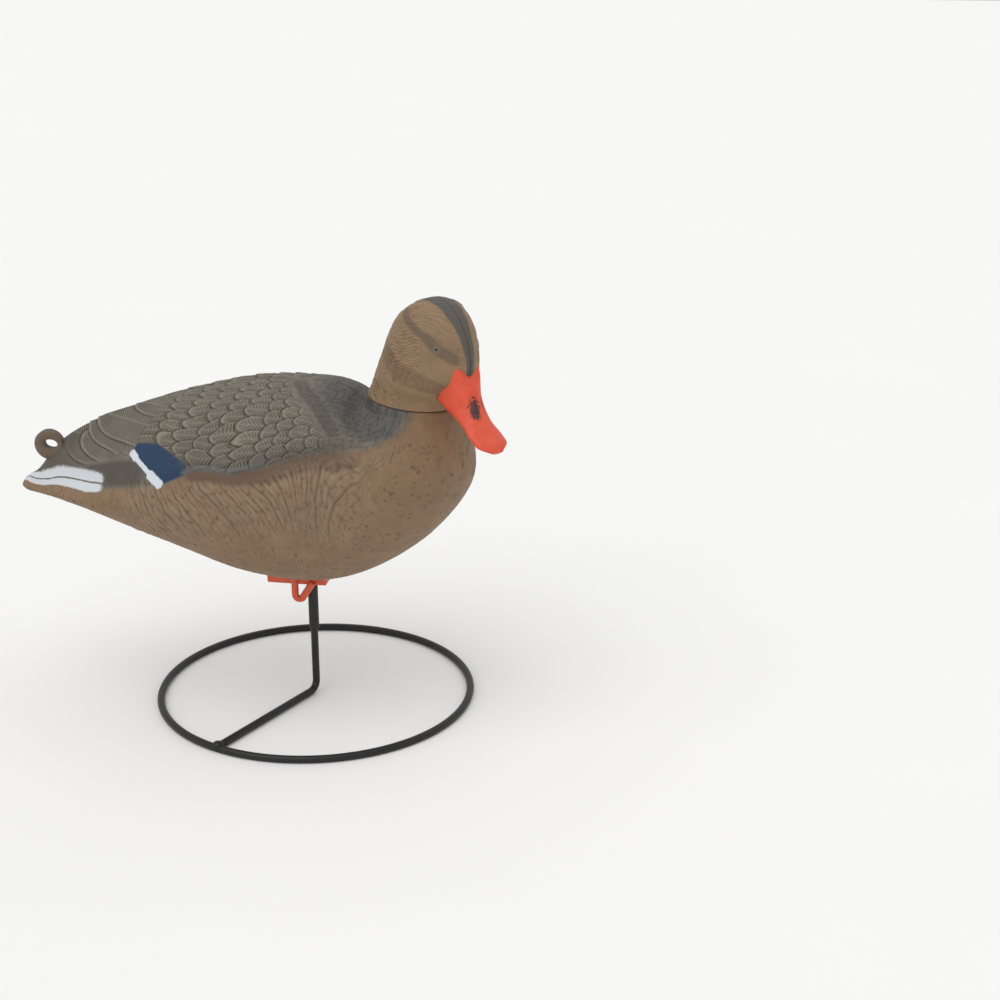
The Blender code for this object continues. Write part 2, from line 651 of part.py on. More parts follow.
PAINTED_STEEL = material("black painted steel", (0.018, 0.017, 0.016), 0.45, 0.2)
WELD_METAL = material("painted weld", (0.022, 0.021, 0.020), 0.60, 0.2)
BLACK_PLASTIC = material("black plastic tube", (0.015, 0.015, 0.015), 0.40)
GREY_PLASTIC = material("grey moulded plastic", (0.20, 0.20, 0.20), 0.50)
ORANGE_PLASTIC = material("orange moulded plastic", (0.52, 0.11, 0.04), 0.45)
BRIGHT_STEEL = material("zinc plated steel", (0.60, 0.60, 0.62), 0.30, 1.0)
BODY_PLASTIC = material("painted brown plastic", (0.19, 0.12, 0.07), 0.65)
BILL_PLASTIC = material("painted orange plastic", (0.70, 0.15, 0.09), 0.50)
EYE_GLASS = material("dark eye", (0.012, 0.010, 0.008), 0.10)

stand_axis = axis_empty("stand_axis")
swivel_axis = axis_empty("swivel_axis", stand_axis)
neck_x, neck_z = neck_point(0, 0)
neck_place = (Matrix.Translation((neck_x, 0, neck_z)) @ Matrix.Rotation(NECK_TILT, 4, "Y"))
neck_axis = axis_empty("neck_axis", swivel_axis, neck_place)
head_axis = axis_empty("head_axis", neck_axis, Matrix.Rotation(HEAD_TURN, 4, "Z"))

make_stand(stand_axis)
sleeve_radius, sleeve_high = make_sleeve(swivel_axis)
belly_recess = make_bracket(swivel_axis, sleeve_radius, sleeve_high)
make_body(swivel_axis, belly_recess)
make_neck(swivel_axis, neck_axis, head_axis)
make_head(head_axis)
centre_on_box(stand_axis)
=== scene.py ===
import math

import bmesh
import bpy
import numpy as np
from mathutils import Matrix, Vector


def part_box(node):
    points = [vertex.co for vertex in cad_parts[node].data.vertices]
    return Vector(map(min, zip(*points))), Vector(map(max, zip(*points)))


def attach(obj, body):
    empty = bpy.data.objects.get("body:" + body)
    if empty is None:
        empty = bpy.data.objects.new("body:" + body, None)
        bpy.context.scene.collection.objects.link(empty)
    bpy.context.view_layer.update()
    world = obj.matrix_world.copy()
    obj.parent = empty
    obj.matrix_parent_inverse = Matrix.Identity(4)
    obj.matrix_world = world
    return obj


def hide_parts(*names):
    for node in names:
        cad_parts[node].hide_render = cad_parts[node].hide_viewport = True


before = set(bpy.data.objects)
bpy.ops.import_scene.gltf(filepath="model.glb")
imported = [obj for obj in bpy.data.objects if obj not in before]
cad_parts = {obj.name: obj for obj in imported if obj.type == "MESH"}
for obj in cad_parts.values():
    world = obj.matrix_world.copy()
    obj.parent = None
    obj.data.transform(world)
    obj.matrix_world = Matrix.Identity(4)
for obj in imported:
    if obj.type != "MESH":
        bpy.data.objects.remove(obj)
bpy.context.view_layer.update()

MM = 0.001

# ---------------------------------------------------------------------------------------
# Camera: a 70 mm lens a metre and a half away, a little above the duck's back and just
# ahead of its right side, looking down at the stand.
# ---------------------------------------------------------------------------------------
ring_low, ring_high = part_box("ground_ring")
AXIS_X = (ring_low.x + ring_high.x) / 2
CAMERA_OUT = (0.405, -1.416, 0.695)
CAMERA_DOWN = 19.80
CAMERA_HEADING = 10.03
CAMERA_LEAN = -0.24
eye = bpy.data.cameras.new("view")
eye.lens = 70.2
eye.sensor_width = 36.0
camera = bpy.data.objects.new("view", eye)
camera.location = (AXIS_X + CAMERA_OUT[0], CAMERA_OUT[1], CAMERA_OUT[2])
camera.rotation_euler = (Matrix.Rotation(math.radians(CAMERA_HEADING), 3, "Z")
                         @ Matrix.Rotation(math.radians(90 - CAMERA_DOWN), 3, "X")
                         @ Matrix.Rotation(math.radians(CAMERA_LEAN), 3, "Z")).to_euler()
bpy.context.scene.collection.objects.link(camera)
bpy.context.scene.camera = camera


# ---------------------------------------------------------------------------------------
# Ring stand: 6 mm steel rod rolled into a ring, and a second rod bent from a spoke into
# the upright, arc-welded to the ring's inner side and painted black together.
# ---------------------------------------------------------------------------------------
def paint(red, green, blue):
    """a paint's screen colour, 0 to 255, as the linear values that a shader takes"""
    share = np.array([red, green, blue], float) / 255
    line = np.where(share < 0.04045, share / 12.92, ((share + 0.055) / 1.055) ** 2.4)
    return (*line.tolist(), 1.0)


class Finish:
    """A material being mixed: a Principled shader, and calls that add its nodes."""

    def __init__(self, name, **sockets):
        self.material = bpy.data.materials.new(name)
        self.material.use_nodes = True
        self.tree = self.material.node_tree
        self.shader = self.tree.nodes["Principled BSDF"]
        for socket, value in sockets.items():
            self.set(socket.replace("_", " "), value)
        self.place = self.tree.nodes.new("ShaderNodeTexCoord").outputs["Object"]

    def set(self, socket, value):
        self.join(value, self.shader.inputs[socket])

    def join(self, value, target):
        if isinstance(value, bpy.types.NodeSocket):
            self.tree.links.new(value, target)
        else:
            target.default_value = value

    def node(self, kind, output, inputs, **settings):
        made = self.tree.nodes.new(kind)
        for name, value in settings.items():
            setattr(made, name, value)
        for name, value in inputs.items():
            self.join(value, made.inputs[name])
        return made.outputs[output]

    def field(self, name):
        """a value that the mesh carries at its points"""
        return self.node("ShaderNodeAttribute", "Fac", {}, attribute_name=name)

    def math(self, operation, first, second=0.5):
        return self.node("ShaderNodeMath", 0, {0: first, 1: second}, operation=operation)

    def noise(self, scale, detail=3.0, roughness=0.55, stretch=None):
        """cloudy values about a half; scale is in lumps per metre"""
        vector = self.place
        if stretch:
            vector = self.node("ShaderNodeVectorMath", 0, {0: vector, 1: stretch},
                               operation="MULTIPLY")
        return self.node("ShaderNodeTexNoise", "Fac", {
            "Vector": vector, "Scale": scale, "Detail": detail, "Roughness": roughness})

    def ramp(self, value, low, high, start=0.0, end=1.0):
        """value stretched so that low becomes start and high becomes end"""
        return self.node("ShaderNodeMapRange", 0, {
            "Value": value, "From Min": low, "From Max": high,
            "To Min": start, "To Max": end}, clamp=True)

    def blend(self, share, under, over, mode="MIX"):
        """one colour over another by share"""
        return self.node("ShaderNodeMix", 2, {0: share, 6: under, 7: over},
                         data_type="RGBA", blend_type=mode)

    def spray(self, colour, name, strength, over):
        """a paint over the colour, as thick as the mesh's field times the strength"""
        return self.blend(self.math("MULTIPLY", self.field(name), strength), colour, over)

    def bump(self, height, distance, strength=1.0):
        return self.node("ShaderNodeBump", 0, {
            "Height": height, "Distance": distance, "Strength": strength})


def sheet_faces(rows, columns, around=False):
    """quads between neighbouring rows and columns; around joins the last column to the first"""
    order = np.arange(rows * columns).reshape(rows, columns)
    if around:
        order = np.concatenate([order, order[:, :1]], axis=1)
    quads = np.stack([order[:-1, :-1], order[1:, :-1], order[1:, 1:], order[:-1, 1:]], -1)
    return quads.reshape(-1, 4).tolist()


def skin(name, points, faces, fields=None):
    """closed mesh of the points and faces, turned outwards, with its fields at the points"""
    mesh = bpy.data.meshes.new(name)
    mesh.from_pydata(np.asarray(points, float).reshape(-1, 3).tolist(), [], faces)
    shape = bmesh.new()
    shape.from_mesh(mesh)
    bmesh.ops.recalc_face_normals(shape, faces=shape.faces)
    shape.to_mesh(mesh)
    shape.free()
    for field, values in (fields or {}).items():
        mesh.attributes.new(field, "FLOAT", "POINT").data.foreach_set(
            "value", np.ascontiguousarray(values, np.float32).ravel())
    return mesh


def show(mesh, finish, body, slot, *nodes):
    """the finished piece in the scene, riding on its body in place of its CAD nodes"""
    mesh.materials.append(finish.material)
    mesh.shade_smooth()
    piece = bpy.data.objects.new(mesh.name, mesh)
    bpy.context.scene.collection.objects.link(piece)
    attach(piece, body)
    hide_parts(*nodes)
    return piece


ROD_SIDES = 20


def bar(path, radius, sides=ROD_SIDES):
    """rings square to a path, each its radius out, turned about the path without twist"""
    path = np.asarray(path, float)
    ahead = np.gradient(path, axis=0)
    ahead /= np.linalg.norm(ahead, axis=1, keepdims=True)
    side = np.cross(ahead, [0.0, 0.0, 1.0])
    steep = np.linalg.norm(side, axis=1, keepdims=True) < 0.02
    side = np.where(steep, side[np.argmax(np.linalg.norm(side, axis=1))], side)
    side /= np.linalg.norm(side, axis=1, keepdims=True)
    up = np.cross(side, ahead)
    turn = np.linspace(0, 2 * math.pi, sides, endpoint=False)[None, :, None]
    out = np.cos(turn) * side[:, None] + np.sin(turn) * up[:, None]
    return path[:, None] + np.broadcast_to(radius, len(path))[:, None, None] * out


def bar_faces(rows, sides=ROD_SIDES):
    """the sides of a bar of so many rings, and a flat cap on each end"""
    ends = [list(range(sides)), list(range((rows - 1) * sides, rows * sides))]
    return sheet_faces(rows, sides, around=True) + ends


ROD_R = 3.0 * MM
RING_R = (ring_high.x - ring_low.x) / 2 - ROD_R
SPOKE = math.radians(-112.5)
BEND_R = 8.0 * MM
ROD_GAP = 0.3 * MM
RING_STEPS = 288

black_paint = Finish("black_painted_rod")
grain = black_paint.noise(700.0, 4.0)
worn = black_paint.ramp(black_paint.noise(140.0, 5.0, 0.7), 0.63, 0.72)
black_paint.set("Base Color", black_paint.blend(worn, paint(13, 12, 12), paint(40, 38, 37)))
black_paint.set("Roughness", black_paint.ramp(grain, 0.3, 0.7, 0.34, 0.55))
black_paint.set("Normal", black_paint.bump(grain, 0.00010))

# the ring lies with its rod's underside pressed flat on the ground
around = np.linspace(0, 2 * math.pi, RING_STEPS, endpoint=False)[:, None]
lie = np.linspace(0, 2 * math.pi, ROD_SIDES, endpoint=False)[None, :]
flat = math.cos(math.pi / 10)
out = RING_R + ROD_R * np.cos(lie)
ring_points = np.stack(np.broadcast_arrays(
    AXIS_X + out * np.cos(around), out * np.sin(around),
    ring_low.z + np.maximum(ROD_R * (flat + np.sin(lie)), 0.0)), -1)
ring_points = np.concatenate([ring_points, ring_points[:1]])
ring_faces = np.array(sheet_faces(RING_STEPS + 1, ROD_SIDES, around=True))
ring_faces = (ring_faces % (RING_STEPS * ROD_SIDES)).tolist()
show(skin("ground_ring_rod", ring_points[:-1], ring_faces), black_paint, "stand",
     "black_steel", "ground_ring")

rod_low, rod_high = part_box("upright_rod")
rod_centre = rod_low.z + ROD_R
bend = np.linspace(math.pi / 2, 0, 13)
reach = np.concatenate([np.linspace(RING_R - ROD_R - ROD_GAP, BEND_R, 16)[:-1],
                        BEND_R - BEND_R * np.cos(bend), np.zeros(16)])
lift = np.concatenate([np.zeros(15), BEND_R - BEND_R * np.sin(bend),
                       np.linspace(BEND_R, rod_high.z - rod_centre, 17)[1:]])
rod_path = np.stack([AXIS_X + reach * math.cos(SPOKE), reach * math.sin(SPOKE),
                     rod_centre + lift], -1)
show(skin("bent_upright_rod", bar(rod_path, ROD_R), bar_faces(len(rod_path))),
     black_paint, "stand", "black_steel", "upright_rod")


# ---------------------------------------------------------------------------------------
# Duck's body: two blow-moulded polyethylene halves with the feathers cut into the mould,
# airbrushed brown, grey and white, and glued along the seam over the back and the keel.
# ---------------------------------------------------------------------------------------
BELLY_Z = 107.5
NECK_R = 36.5
NECK_AT = (87.8, 150.2)
NECK_TILT = math.radians(5.9)
SEAM = 0.15
WALL = 2.5
BODY_ROWS, BACK_COLUMNS, KEEL_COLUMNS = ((470, 142, 56))


def rim_point(forward):
    """a point on the neck's rim plane, in mm from the upright and above the belly"""
    return (NECK_AT[0] + forward * math.cos(NECK_TILT),
            NECK_AT[1] - forward * math.sin(NECK_TILT))


# back x and z, keel x and z, half breadth, level of the widest line, power above, below
BODY_PLAN = np.array([
    (-237, 68.5, -237, 64.5, 8, 0.50, 1.80, 1.80),
    (-234, 70.5, -234, 63, 18, 0.50, 1.60, 1.80),
    (-226, 76.2, -226, 61.8, 27, 0.35, 1.10, 1.80),
    (-215, 89, -214, 60.1, 33, 0.26, 0.85, 1.80),
    (-200, 104.5, -200, 57, 38, 0.22, 0.80, 1.80),
    (-170, 121.5, -172, 49, 48, 0.24, 1.15, 1.85),
    (-135, 134.5, -138, 36.5, 60, 0.32, 1.60, 1.90),
    (-90, 147.5, -95, 21.5, 73, 0.42, 1.95, 2.00),
    (-40, 158.0, -45, 5.0, 80, 0.47, 2.15, 2.10),
    (10, 160.0, 8, 0.0, 82, 0.48, 2.15, 2.10),
    (33, 156.5, 52, 10.5, 79, 0.49, 2.05, 2.10),
    (43, 149.5, 98, 39.5, 73, 0.50, 2.00, 2.05),
    (48.5, 147.0, 130, 78.5, 60, 0.50, 2.00, 2.00),
    (51, 149.5, 134, 110.5, 46, 0.50, 2.00, 2.00),
    (*rim_point(-NECK_R), *rim_point(NECK_R), NECK_R, 0.50, 2.00, 2.00)])


def through(stops, values, at):
    """smooth curve through stops: cubic pieces whose slope at a stop is that of its neighbours"""
    slopes = np.gradient(values, stops, axis=0)
    left = np.clip(np.searchsorted(stops, at, side="right") - 1, 0, len(stops) - 2)
    width = (stops[left + 1] - stops[left])[..., None]
    u = (at - stops[left])[..., None] / width
    return ((2 * u**3 - 3 * u**2 + 1) * values[left] + (u**3 - 2 * u**2 + u) * width * slopes[left]
            + (3 * u**2 - 2 * u**3) * values[left + 1] + (u**3 - u**2) * width * slopes[left + 1])


def body_section(at, turn, inset=0.0):
    """left side of the body: at runs from tail to neck, and turn from 90 degrees at the back
    to -90 at the keel; each section is an oval whose power and widest level the plan gives"""
    plan = through(np.linspace(0, 1, len(BODY_PLAN)), BODY_PLAN, at)
    back, keel = plan[..., 0:2], plan[..., 2:4]
    along = back - keel
    along = along / np.linalg.norm(along, axis=-1, keepdims=True)
    back, keel = back - inset * along, keel + inset * along
    centre = keel + plan[..., 5:6] * (back - keel)
    power = 2 / np.where(turn > 0, plan[..., 6], plan[..., 7])
    limit = np.where((turn > 0)[..., None], back, keel)
    spot = centre + (limit - centre) * (np.abs(np.sin(turn)) ** power)[..., None]
    half = (plan[..., 4] - inset) * np.abs(np.cos(turn)) ** power
    return np.stack([spot[..., 0], half + SEAM, spot[..., 1] + BELLY_Z], -1)


def chance(first, second, seed=0.0):
    """a fixed scatter of numbers from 0 to 1, one for each pair"""
    mixed = np.sin(first * 127.1 + second * 311.7 + seed * 74.7) * 43758.5453
    return mixed - np.floor(mixed)


def ease(value, low=0.0, high=1.0):
    """0 below low, 1 above high, and a smooth rise between"""
    share = np.clip((value - low) / (high - low), 0, 1)
    return share * share * (3 - 2 * share)


def cloud(first, second, size, seed=0.0):
    """smooth random ground from -1 to 1: eased mixing of the scatter at a square's corners"""
    a, b = first / size, second / size
    i, j = np.floor(a), np.floor(b)
    u, v = ease(a - i), ease(b - j)
    low = chance(i, j, seed) * (1 - u) + chance(i + 1, j, seed) * u
    high = chance(i, j + 1, seed) * (1 - u) + chance(i + 1, j + 1, seed) * u
    return 2 * (low * (1 - v) + high * v) - 1


BARB_PITCH = 2.1


def lay_feather(coat, t, q, length, half, lift):
    """one feather over what lies beneath: t is 0 at its root and 1 at its tip, q is -1 to 1
    across. Its outline is straight-sided to the middle and an ellipse at the tip; it rises to
    the tip and has a rolled rim, a shaft, and slanting barbs on both sides of the shaft. The
    barbs are slight cosine ribs here, and the paint counts them again by the barb field, in
    mm across them"""
    tip = np.clip((t - 0.45) / 0.55, 0, None)
    inside = (1 - np.sqrt(q**2 + tip**2)) * half
    cover = ease(inside, -0.1, 0.6) * ease(t, -0.02, 0.12)
    vane = ease(inside, 0.9, 1.9)
    shaft = np.exp(-(q * half / 0.6) ** 2) * ease(0.97 - t, 0.0, 0.1)
    barb = (t * length - np.abs(q) * half * 0.95) * 0.74
    rim = np.exp(-((inside - 0.75) / 0.55) ** 2)
    height = (lift * (0.1 + 0.9 * t) + 0.42 * rim + 0.30 * shaft * vane
              + 0.16 * np.cos(2 * math.pi * barb / BARB_PITCH) * vane * (1 - shaft))
    # just outside the feather's edge: a groove in the skin, and painted shadow in the paint
    # between the feathers
    outside = np.exp(-((inside + 0.4) / 0.5) ** 2) * ease(t, 0.1, 0.3)
    coat["height"] = coat["height"] * (1 - cover) + height * cover - 0.5 * outside * (1 - cover)
    coat["gap_shadow"] = np.maximum(coat["gap_shadow"] * (1 - cover), outside * (1 - cover))
    # the raised rim and shaft get lighter paint: dry-brushed paint that also stands for painted
    # highlight
    coat["drybrush_and_highlight"] = (coat["drybrush_and_highlight"] * (1 - cover)
                     + np.clip(0.9 * rim + 0.5 * shaft * vane, 0, 1) * cover)
    coat["vane"] = coat["vane"] * (1 - cover) + vane * (1 - shaft) * cover
    coat["barb"] = np.where(cover > 0.5, barb, coat["barb"])


def strokes(along, across, length, width, seed):
    """combed locks: lanes a width apart, each cut into strokes of random strength that rise
    like a half wave across the lane and swell and fade along it"""
    lane = np.floor(across / width)
    place = along / length + 9 * chance(lane, 3.0, seed)
    cell = np.floor(place)
    strength = chance(lane, cell, seed + 1)
    swell = np.sin(math.pi * (place - cell)) ** 0.6
    return np.sin(math.pi * (across / width - lane)) ** 1.3 * swell * (0.35 + 0.65 * strength)


def near_line(x, v, points, width):
    """1 on a broken line through the points, fading out over the width beside it"""
    best = np.full(np.shape(x), 1e9)
    for (x0, v0), (x1, v1) in zip(points[:-1], points[1:]):
        along = ((x - x0) * (x1 - x0) + (v - v0) * (v1 - v0)) / ((x1 - x0)**2 + (v1 - v0)**2)
        along = np.clip(along, 0, 1)
        best = np.minimum(best, np.hypot(x - x0 - along * (x1 - x0), v - v0 - along * (v1 - v0)))
    return 1 - ease(best, width * 0.5, width)


def within(x, v, corners, soft):
    """1 inside a convex outline given clockwise, fading over soft across its edge"""
    depth = np.full(np.shape(x), 1e9)
    for (x0, v0), (x1, v1) in zip(corners, corners[1:] + corners[:1]):
        side = (x1 - x0) * (v - v0) - (v1 - v0) * (x - x0)
        depth = np.minimum(depth, side / math.hypot(x1 - x0, v1 - v0))
    return ease(depth, -soft / 2, soft / 2)


trial = body_section(np.linspace(0, 1, 2001), np.full(2001, math.radians(25)))
walked = np.concatenate([[0], np.cumsum(np.linalg.norm(np.diff(trial, axis=0), axis=1))])
at = np.interp(np.linspace(0, walked[-1], BODY_ROWS), walked, np.linspace(0, 1, 2001))
# x runs forward from the upright and v down round the skin from the back's seam, in mm
turn = np.radians(np.concatenate([np.linspace(90, 0, BACK_COLUMNS)[:-1],
                                  np.linspace(0, -90, KEEL_COLUMNS)]))
at, turn = np.meshgrid(at, turn, indexing="ij")
skin_line = body_section(at, turn)
x = skin_line[..., 0]
step = np.linalg.norm(np.diff(skin_line, axis=1), axis=-1)
v = np.concatenate([np.zeros((BODY_ROWS, 1)), np.cumsum(step, axis=1)], axis=1)
outwards = np.cross(np.gradient(skin_line, axis=1), np.gradient(skin_line, axis=0))
outwards /= np.linalg.norm(outwards, axis=-1, keepdims=True) + 1e-9
outwards *= np.sign(np.sum(outwards * (skin_line - [-20, 0, 190]), -1, keepdims=True))

# where the coat changes: the wing's lower edge, where grey paint ends, the top of the
# tail's white band, the shoulder stripe, and the way to the neck's rim
wing_edge = np.interp(x, [-237, -200, -160, -128, -98, -76, -59, -38, -15, 8, 30, 50, 80],
                      [10, 32, 46, 60, 90, 91, 95, 101, 97, 88, 80, 71, 60])
grey_edge = np.interp(x, [-237, -212, -171, -150, -128, -100, -76, -60, -38, -15, 8, 30, 50, 80],
                      [6, 30, 62, 74, 84, 95, 93, 95, 101, 97, 88, 80, 71, 60])
band_edge = np.interp(x, [-232, -218, -187, -156, -140], [0, 12, 36, 59, 70])
stripe_x = np.interp(v, [0, 24, 59, 80], [-2, 7, 35, 46])
to_rim = np.linalg.norm(skin_line - [NECK_AT[0], 0, BELLY_Z + NECK_AT[1]], axis=-1) - NECK_R

# long quills over the rump, then the small feathers in slanting rows, front over back
coat = {name: np.zeros_like(x) for name in ("height", "gap_shadow", "drybrush_and_highlight", "vane", "barb")}
for (tip_x, tip_v), (root_x, root_v), half, lift in (
        ((-199, -4), (-140, 44), 19, 1.1), ((-185, 8), (-125, 60), 13, 1.3),
        ((-178, -6), (-128, 42), 16, 1.5), ((-171, -6), (-108, 44), 17, 1.9),
        ((-140, -4), (-90, 33), 11.5, 1.7)):
    length = math.hypot(tip_x - root_x, tip_v - root_v)
    way_x, way_v = (tip_x - root_x) / length, (tip_v - root_v) / length
    t = ((x - root_x) * way_x + (v - root_v) * way_v) / length
    q = ((v - root_v) * way_x - (x - root_x) * way_v) / half
    lay_feather(coat, t, q, length, half, lift)

FEATHER_WIDTH = 11.5
FEATHER_HALF = 0.62 * FEATHER_WIDTH
OVERLAP = 1.72
FEATHER_LIFT = 1.35
behind = np.logaddexp(0, (-78 - x) / 12) * 12
across = v + 0.62 * behind
knots = np.linspace(-260, 150, 400)
row_length = np.interp(knots, [-150, -90, -40, 20], [27, 22, 17, 12])
rows = np.cumsum(1 / row_length) * (knots[1] - knots[0])
slanted = x + 0.20 * (v - 45) - 0.25 * behind
row_place = rows[-1] - np.interp(slanted, knots, rows)
row_place = row_place + 0.30 * cloud(x, v, 24, 6) + 0.12 * cloud(x, v, 11, 9)
row_size = np.interp(slanted, knots, row_length)
column_place = across / FEATHER_WIDTH + 0.35 * cloud(x, v, 40, 5) + 0.20 * cloud(x, v, 15, 8)
lattice = {name: values.copy() for name, values in coat.items()}
for back in (0, 1):
    row = np.floor(row_place) - back
    for beside in (0, 1):
        shifted = column_place - 0.5 * np.mod(row, 2)
        column = np.floor(shifted) + beside
        size = chance(row, column, 2)
        t = (row_place - row + 0.25 * (size - 0.5)) / OVERLAP
        lean = 0.16 * (chance(row, column, 7) - 0.5)
        q = (shifted - column - lean * (t - 0.5)) / (0.60 + 0.08 * size)
        lay_feather(lattice, t, q, row_size * OVERLAP, FEATHER_HALF, FEATHER_LIFT)
small = ease(slanted + 0.35 * v, -128, -112) * ease(wing_edge - v, 0, 5)
small = small * ease(stripe_x - 4 - x, 0, 14)
for name in coat:
    mixed = coat[name] * (1 - small) + lattice[name] * small
    coat[name] = mixed if name != "barb" else np.where(small > 0.5, lattice[name], coat[name])

quilled = ease(wing_edge - v, -2, 4) * ease(stripe_x - 4 - x, 0, 14) * ease(x, -205, -192)
# the blue wing patch, its white bar with wider ends, and a pale line ahead of it
blue = within(x, v, [(-104, 59), (-75, 86), (-78, 92), (-98, 94), (-129, 58), (-124, 49)], 2.0)
bar_white = near_line(x, v, [(-127, 57), (-100, 92)], 2.3)
bar_ends = np.maximum(near_line(x, v, [(-128, 55), (-123, 62)], 3.4),
                      near_line(x, v, [(-108, 82), (-99, 93)], 4.4))
pale_line = near_line(x, v, [(-79, 90), (-71, 88), (-40, 97), (6, 89)], 2.4) * ease(x, 8, -40)

# hair lines over the shoulder, and locks of down on the flank that fan from the wing
wave = 3.0 * cloud(x, v, 26, 11) + 1.1 * cloud(x, v, 9, 12)
hair = strokes(x * 0.6 - v * 0.8, x * 0.8 + v * 0.6 + wave * 0.6, 9.0, 1.9, 21)
lean = np.interp(x, [-160, -60, 0, 25, 60, 110], [0.2, 0.62, 0.55, 0.0, -0.6, -0.25])
low = v - 105
lock_along = low * np.cos(lean) + x * np.sin(lean)
lock_across = x * np.cos(lean) - low * np.sin(lean) + wave
locks = np.maximum(strokes(lock_along, lock_across, 17.0, 4.4, 31),
                   0.75 * strokes(lock_along + 5, lock_across + 1.7, 11.0, 2.7, 41))
flecks = strokes(lock_along * 0.9, lock_across, 6.5, 2.3, 51)
dashes = ease(strokes(lock_along, lock_across + 0.5 * wave, 7.5, 1.7, 61), 0.62, 0.90)

furred = ease(v - wing_edge, 2, 12) * ease(v, 170, 128) * ease(x, -150, -110) * ease(x, 85, 40)
haired = (1 - quilled) * ease(wing_edge + 6 - v, -4, 8) * ease(x, -10, 6)
smooth_neck = ease(to_rim, 16, 4)
downy = ease(v - wing_edge, 0, 10) * (1 - 0.7 * smooth_neck)

# how far the skin stands out or in, in mm
relief = (coat["height"] - 0.75) * quilled * (1 - 0.85 * blue)
relief += 0.26 * (hair - 0.45) * haired * (1 - 0.8 * smooth_neck)
relief += (1.9 * (locks - 0.42) * furred + 0.30 * (flecks - 0.4) * (1 - furred)) * downy
relief -= 0.42 * dashes * downy * (1 - furred)
relief += 0.55 * np.maximum(bar_white, bar_ends)

# the folded wing stands out over the flank, and the tail fan is dished above its lip
WING_STEP = 1.3
TAIL_DISH = 3.6
relief += WING_STEP * ease(wing_edge - v, -3, 4) * ease(x, -140, -105) * ease(x, 60, 25)
red_hatch = near_line(x, v, [(-70, 93), (-38, 103), (-8, 101), (25, 86), (52, 80)], 8.5)
relief -= 0.9 * near_line(x, v, [(-75, 97), (-38, 108), (-8, 106), (28, 93), (52, 86)], 3.0)
middle = (band_edge + grey_edge) / 2
dished = np.exp(-((v - middle) / 9.5) ** 2) * ease(x, -128, -165) * ease(x, -236, -222)
relief -= TAIL_DISH * dished
band = ease(v - band_edge, -5, 3) * ease(grey_edge + 4 - v, -2, 3) * ease(x, -150, -162)
dark_line = np.exp(-((v - middle - 1.5) / 1.0) ** 2) * band
relief *= ease(to_rim, 0.4, 2.2)
relief -= 0.5 * np.exp(-((to_rim - 3.0) / 0.7) ** 2)
relief[:, [0, -1]] *= 0.5

moved = skin_line + outwards * relief[..., None]
moved[..., 1] = np.maximum(moved[..., 1], SEAM)
moved[:, [0, -1], 1] = SEAM

# the inner wall: the same sections, a wall's thickness in, on a coarse grid; the dished
# tail behind it is solid
HOLLOW_FROM = 0.47
inner_at, inner_turn = np.meshgrid(np.linspace(HOLLOW_FROM, 1, 60),
                                   np.radians(np.linspace(90, -90, 37)), indexing="ij")
inner = body_section(inner_at, inner_turn, inset=WALL)
inner[..., 1] = np.maximum(inner[..., 1], SEAM)

rows_out, columns_out = moved.shape[:2]
rows_in, columns_in = inner.shape[:2]
count = rows_out * columns_out
outer_order = np.arange(count).reshape(rows_out, columns_out)
inner_order = count + np.arange(rows_in * columns_in).reshape(rows_in, columns_in)
shell_faces = sheet_faces(rows_out, columns_out)
shell_faces += (np.array(sheet_faces(rows_in, columns_in)) + count).tolist()
shell_faces += [outer_order[0].tolist(), inner_order[0].tolist(),
                outer_order[-1].tolist() + inner_order[-1, ::-1].tolist(),
                (outer_order[::-1, 0].tolist() + outer_order[:, -1].tolist()
                 + inner_order[::-1, -1].tolist() + inner_order[:, 0].tolist())]

fields = {
    # lighter paint on the raised rims, shafts, hair strokes and locks: dry-brush and painted
    # highlight
    "drybrush_and_highlight": np.clip(coat["drybrush_and_highlight"] * quilled + 0.6 * hair * haired + locks * furred * 0.9
                     + flecks * downy * (1 - furred) * 0.35, 0, 1),
    "barb": coat["barb"], "vane": coat["vane"] * quilled * (1 - blue),
    # darker paint in the grooves: painted shade in the gaps between feathers and between hair
    # strokes and locks, with the dark dashes of paint in the belly's grooves
    "shade_and_wash": np.clip(1.2 * coat["gap_shadow"] * quilled
                      + 0.8 * ease(0.35 - hair, 0, 0.35) * haired
                      + 0.75 * ease(0.26 - locks, 0, 0.26) * furred * downy
                      + dashes * downy * (1 - 0.85 * furred), 0, 1),
    "wing": ease(grey_edge - v, -5, 5),
    # a dark band just inside the wing's lower edge, where it turns down, and a dark line along the
    # shoulder stripe: dark airbrushing, and painted shade
    "dark_airbrush_and_shade": np.clip(0.9 * np.exp(-((wing_edge - v - 5) / 6.5) ** 2) * ease(x, -118, -80)
                     * ease(x, 62, 35)
                     + ease(near_line(x, v, [(-2, 8), (7, 24), (35, 59)], 7.0)), 0, 1),
    "neck_grey": ease(np.minimum(to_rim, 60) + 0.55 * np.maximum(v - 58, -20), 38, 16)
                 * ease(v, 68, 55),
    "russet": red_hatch * ease(v - wing_edge, -5, 3),
    "blue": blue * ease(x + 0.55 * (90 - v), -66, -84), "white": np.maximum(bar_white, bar_ends),
    "patch_edge": blue, "pale_line": pale_line,
    "tail_white": band * (1 - 0.8 * dark_line),
    "rump": np.clip(ease(v - wing_edge, -1, 4) * ease(grey_edge - v, -2, 5) * ease(x, -104, -122)
                    * (1 - band) + 0.7 * ease(x, -180, -205) * ease(grey_edge - v, 0, 8), 0, 1),
}
inner_zeros = np.zeros(rows_in * columns_in)
fields = {name: np.concatenate([np.ravel(values), inner_zeros])
          for name, values in fields.items()}

